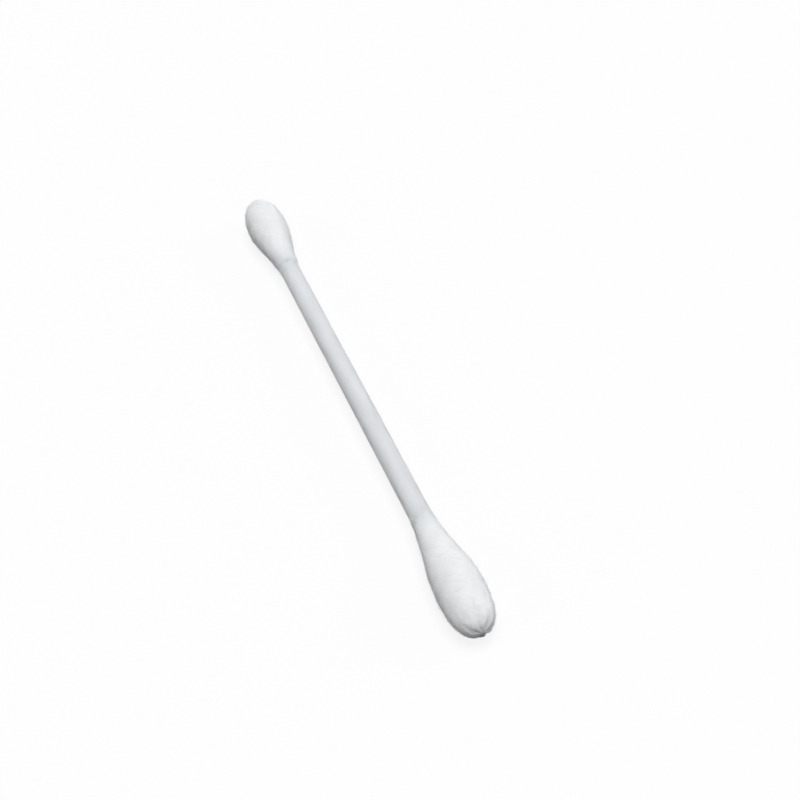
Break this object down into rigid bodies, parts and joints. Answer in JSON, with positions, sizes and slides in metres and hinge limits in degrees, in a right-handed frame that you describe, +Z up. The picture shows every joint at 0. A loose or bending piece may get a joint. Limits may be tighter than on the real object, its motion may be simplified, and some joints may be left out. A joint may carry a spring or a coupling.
{
  "type": "cotton swab",
  "caption": "Double-ended cotton swab: a slim hollow plastic stem with a wound teardrop cotton bud on each end, lying flat.",
  "frame": {"origin": "on the surface the swab lies on, at the middle of its length and width", "axes": "+X along the swab towards the large bud, +Y across it, +Z up"},
  "size_m": [0.073, 0.0052, 0.0051],
  "materials": {
    "stem_plastic": "translucent white, satin",
    "cotton": "matt white wound cotton"
  },
  "bodies": {
    "root": {"stem": "stem_plastic", "large_bud": "cotton", "small_bud": "cotton"}
  },
  "joints": []
}
